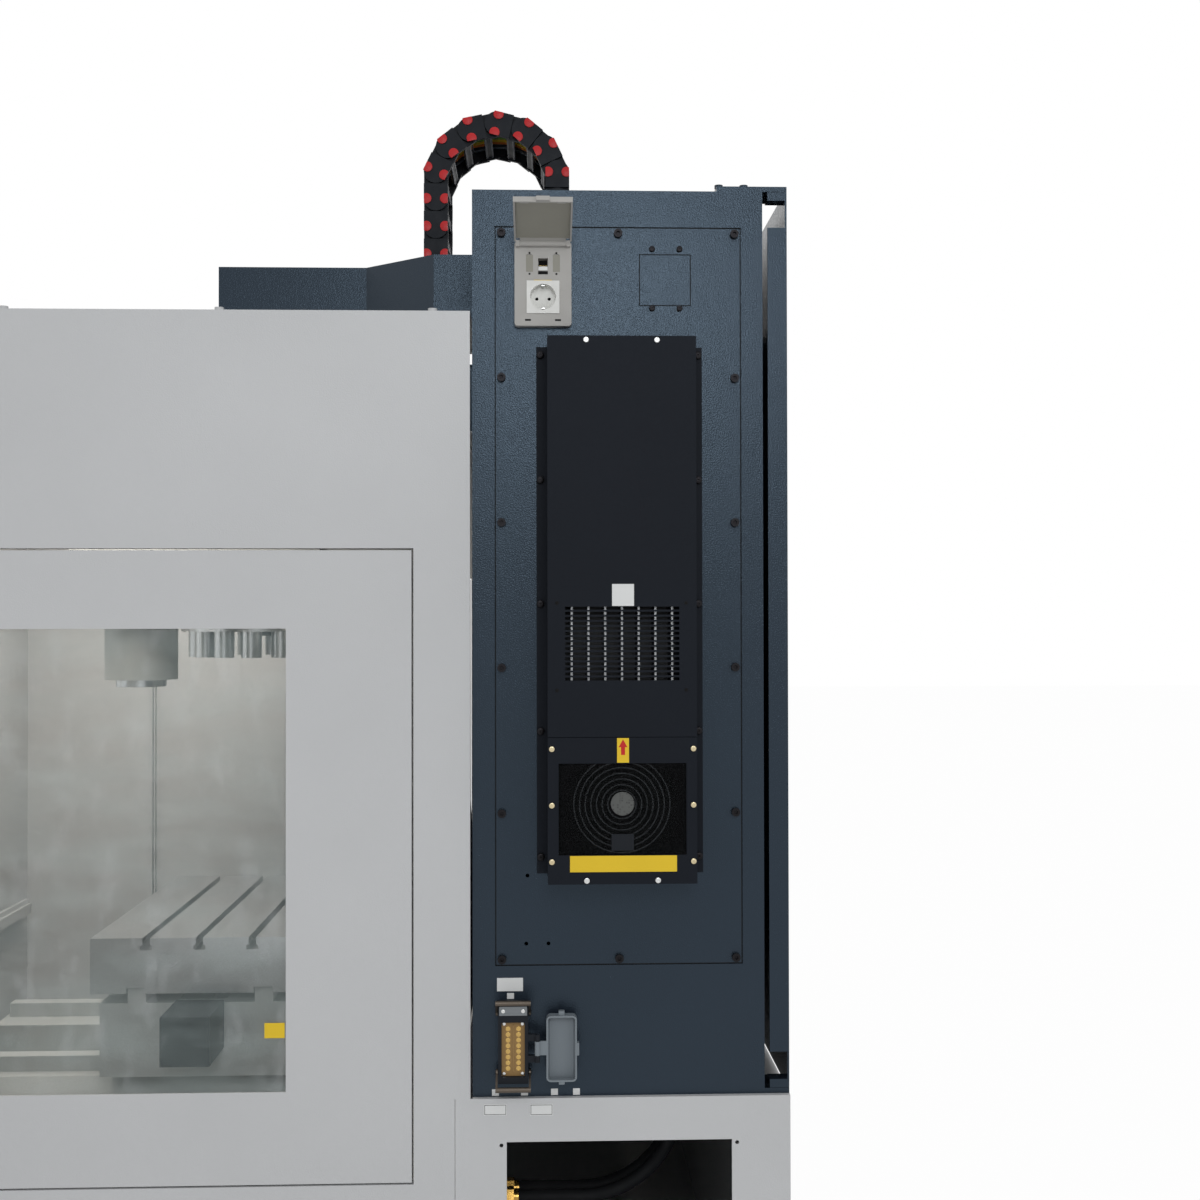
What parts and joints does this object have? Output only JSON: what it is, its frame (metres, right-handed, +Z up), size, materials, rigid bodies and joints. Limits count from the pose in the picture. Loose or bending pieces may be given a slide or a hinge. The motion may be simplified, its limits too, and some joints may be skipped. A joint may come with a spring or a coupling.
{
  "type": "machining center",
  "caption": "Vertical machining center with sheet-metal enclosure, rear electrical cabinet, side heat exchanger and an arched cable drag chain",
  "frame": {"origin": "on the floor, at the middle of the machine's outline at rest", "axes": "X across the machine with the heat exchanger side at +X, operator side at -Y, Z up"},
  "size_m": [2.0454, 1.888, 2.4833],
  "materials": {
    "white_paint": "fine textured grey-white powder coat",
    "slate_paint": "fine textured slate-blue powder coat",
    "black_paint": "satin black powder coat",
    "black_oxide": "blackened steel",
    "cast_iron": "painted casting with ground ways",
    "machined_steel": "ground steel",
    "fin_aluminium": "rolled fins",
    "beige_plastic": "moulded",
    "white_plastic": "moulded",
    "grey_plastic": "moulded",
    "tan_plastic": "moulded insert with gilt contacts",
    "black_plastic": "glass-filled moulding",
    "black_rubber": "smooth hose",
    "brass": "turned",
    "clear_pane": "laminated pane",
    "red_plastic": "moulded"
  },
  "bodies": {
    "root": {"bed": "cast_iron", "column": "cast_iron", "levelling_feet": "machined_steel", "servo_motors": "black_paint", "rear_skirt": "white_paint", "right_panel": "white_paint", "left_panel": "white_paint", "front_frame": "white_paint", "roof_panel": "white_paint", "top_guard": "slate_paint", "cabinet_shell": "slate_paint", "cabinet_cover": "slate_paint", "cover_bolts": "black_oxide", "pivot_plates": "slate_paint", "control_gear": "machined_steel", "exchanger_housing": "black_paint", "exchanger_core": "fin_aluminium", "filter_frame": "black_paint", "interface_frame": "beige_plastic", "socket_insert": "white_plastic", "connector_housing": "black_plastic", "connector_insert": "tan_plastic", "coolant_hoses": "black_rubber", "hose_fitting": "brass", "chain_anchor": "black_plastic", "magazine_bracket": "slate_paint"},
    "saddle": {"saddle": "cast_iron", "x_motor": "black_paint"},
    "table": {"table": "machined_steel"},
    "head": {"head": "cast_iron", "spindle_motor": "black_paint", "chain_arm": "slate_paint"},
    "spindle": {"spindle": "machined_steel"},
    "tool_disc": {"tool_disc": "machined_steel"},
    "right_door": {"right_door": "white_paint", "right_window": "clear_pane"},
    "left_door": {"left_door": "white_paint"},
    "left_handle": {"left_handle": "black_plastic"},
    "front_left": {"front_door_left": "white_paint", "front_window_left": "clear_pane"},
    "front_right": {"front_door_right": "white_paint", "front_window_right": "clear_pane"},
    "cabinet_right": {"cabinet_door_right": "slate_paint"},
    "cabinet_left": {"cabinet_door_left": "slate_paint"},
    "lid": {"interface_lid": "beige_plastic"},
    "cap": {"connector_cap": "grey_plastic"},
    "upper_lever": {"upper_lever": "machined_steel"},
    "lower_lever": {"lower_lever": "machined_steel"},
    "fan": {"fan_rotor": "black_plastic"},
    "link_a": {"chain_link_a": "black_plastic"},
    "link_b": {"chain_link_b": "black_plastic"},
    "bend": {"chain_bend": "black_plastic"},
    "link_c": {"chain_link_c": "black_plastic"},
    "link_d": {"chain_link_d": "black_plastic"},
    "leg": {"chain_leg": "black_plastic"},
    "x_screw": {"x_screw": "machined_steel"},
    "y_screw": {"y_screw": "machined_steel"},
    "z_screw": {"z_screw": "machined_steel"},
    "panel": {"control_panel": "black_paint"},
    "stop": {"stop_button": "red_plastic"}
  },
  "joints": [
    {"name": "y_slide", "type": "slide", "parent": "root", "child": "saddle", "axis": [0, 1, 0], "range_m": [-0.4, 0]},
    {"name": "x_slide", "type": "slide", "parent": "saddle", "child": "table", "axis": [1, 0, 0], "range_m": [-0.25, 0.25]},
    {"name": "z_slide", "type": "slide", "parent": "root", "child": "head", "axis": [0, 0, 1], "range_m": [-0.312, 0]},
    {"name": "spindle_turn", "type": "hinge", "parent": "head", "child": "spindle", "pos_m": [-0.05359, -0.287, 1.387], "axis": [0, 0, 1], "continuous": true},
    {"name": "disc_turn", "type": "hinge", "parent": "root", "child": "tool_disc", "pos_m": [-0.45359, -0.102, 1.5], "axis": [0, 0, 1], "continuous": true},
    {"name": "right_door_swing", "type": "hinge", "parent": "root", "child": "right_door", "pos_m": [0.90592, -0.497, 1.155], "axis": [0, 0, -1], "range_deg": [0, 110]},
    {"name": "left_door_swing", "type": "hinge", "parent": "root", "child": "left_door", "pos_m": [-1.01309, -0.497, 1.155], "axis": [0, 0, 1], "range_deg": [0, 110]},
    {"name": "left_handle_turn", "type": "hinge", "parent": "left_door", "child": "left_handle", "pos_m": [-1.00358, 0.296, 1.155], "axis": [1, 0, 0], "range_deg": [0, 45], "stiffness_Nm_per_rad": 0.6, "springref_deg": -34.38},
    {"name": "front_left_slide", "type": "slide", "parent": "root", "child": "front_left", "axis": [-1, 0, 0], "range_m": [0, 0.38]},
    {"name": "front_right_slide", "type": "slide", "parent": "root", "child": "front_right", "axis": [1, 0, 0], "range_m": [0, 0.38]},
    {"name": "cabinet_right_swing", "type": "hinge", "parent": "root", "child": "cabinet_right", "pos_m": [0.87242, 0.929, 1.5], "axis": [0, 0, -1], "range_deg": [0, 120]},
    {"name": "cabinet_left_swing", "type": "hinge", "parent": "root", "child": "cabinet_left", "pos_m": [-0.97959, 0.929, 1.5], "axis": [0, 0, 1], "range_deg": [0, 120]},
    {"name": "lid_fold", "type": "hinge", "parent": "root", "child": "lid", "pos_m": [0.90541, 0.567, 2.103], "axis": [0, 1, 0], "range_deg": [0, 107]},
    {"name": "cap_swing", "type": "hinge", "parent": "root", "child": "cap", "pos_m": [0.92241, 0.557, 0.883], "axis": [0, 0, -1], "range_deg": [0, 180]},
    {"name": "upper_lever_turn", "type": "hinge", "parent": "root", "child": "upper_lever", "pos_m": [0.90441, 0.5205, 0.934], "axis": [0, 1, 0], "range_deg": [-40, 20]},
    {"name": "lower_lever_turn", "type": "hinge", "parent": "root", "child": "lower_lever", "pos_m": [0.90441, 0.5205, 0.842], "axis": [0, 1, 0], "range_deg": [-20, 40]},
    {"name": "fan_turn", "type": "hinge", "parent": "root", "child": "fan", "pos_m": [0.91641, 0.684, 1.2555], "axis": [1, 0, 0], "continuous": true},
    {"name": "panel_swivel", "type": "hinge", "parent": "root", "child": "panel", "pos_m": [0.80641, -0.856, 1.43], "axis": [0, 0, 1], "range_deg": [0, 90]},
    {"name": "stop_press", "type": "slide", "parent": "panel", "child": "stop", "axis": [0, 1, 0], "range_m": [0, 0.005], "stiffness_N_per_m": 900},
    {"name": "x_screw_turn", "type": "hinge", "parent": "saddle", "child": "x_screw", "pos_m": [-0.05359, -0.087, 0.76], "axis": [1, 0, 0], "continuous": true},
    {"name": "y_screw_turn", "type": "hinge", "parent": "root", "child": "y_screw", "pos_m": [-0.05359, -0.242, 0.6], "axis": [0, 1, 0], "continuous": true},
    {"name": "z_screw_turn", "type": "hinge", "parent": "root", "child": "z_screw", "pos_m": [-0.05359, 0.158, 1.6], "axis": [0, 0, 1], "continuous": true},
    {"name": "chain_pivot_1", "type": "hinge", "parent": "root", "child": "link_a", "pos_m": [0.28541, 0.594, 2.214], "axis": [1, 0, 0], "range_deg": [0, 25.72]},
    {"name": "chain_pivot_2", "type": "hinge", "parent": "link_a", "child": "link_b", "pos_m": [0.28541, 0.594, 2.266], "axis": [1, 0, 0], "range_deg": [0, 25.72]},
    {"name": "chain_pivot_3", "type": "hinge", "parent": "link_b", "child": "bend", "pos_m": [0.28541, 0.594, 2.318], "axis": [1, 0, 0], "range_deg": [0, 25.72]},
    {"name": "chain_pivot_8", "type": "hinge", "parent": "bend", "child": "link_c", "pos_m": [0.28541, 0.42939, 2.44927], "axis": [1, 0, 0], "range_deg": [-25.72, 0]},
    {"name": "chain_pivot_9", "type": "hinge", "parent": "link_c", "child": "link_d", "pos_m": [0.28541, 0.38873, 2.41685], "axis": [1, 0, 0], "range_deg": [-25.72, 0]},
    {"name": "chain_pivot_10", "type": "hinge", "parent": "link_d", "child": "leg", "pos_m": [0.28541, 0.36617, 2.37], "axis": [1, 0, 0], "range_deg": [-25.72, 0]}
  ],
  "couplings": [
    {"joint": "x_screw_turn", "follows": "x_slide", "rad_per_m": 392.7},
    {"joint": "y_screw_turn", "follows": "y_slide", "rad_per_m": 392.7},
    {"joint": "z_screw_turn", "follows": "z_slide", "rad_per_m": 392.7},
    {"joint": "chain_pivot_1", "follows": "z_slide", "rad_per_m": -1.4385},
    {"joint": "chain_pivot_2", "follows": "z_slide", "rad_per_m": -1.4385},
    {"joint": "chain_pivot_3", "follows": "z_slide", "rad_per_m": -1.4385},
    {"joint": "chain_pivot_8", "follows": "z_slide", "rad_per_m": 1.4385},
    {"joint": "chain_pivot_9", "follows": "z_slide", "rad_per_m": 1.4385},
    {"joint": "chain_pivot_10", "follows": "z_slide", "rad_per_m": 1.4385}
  ]
}
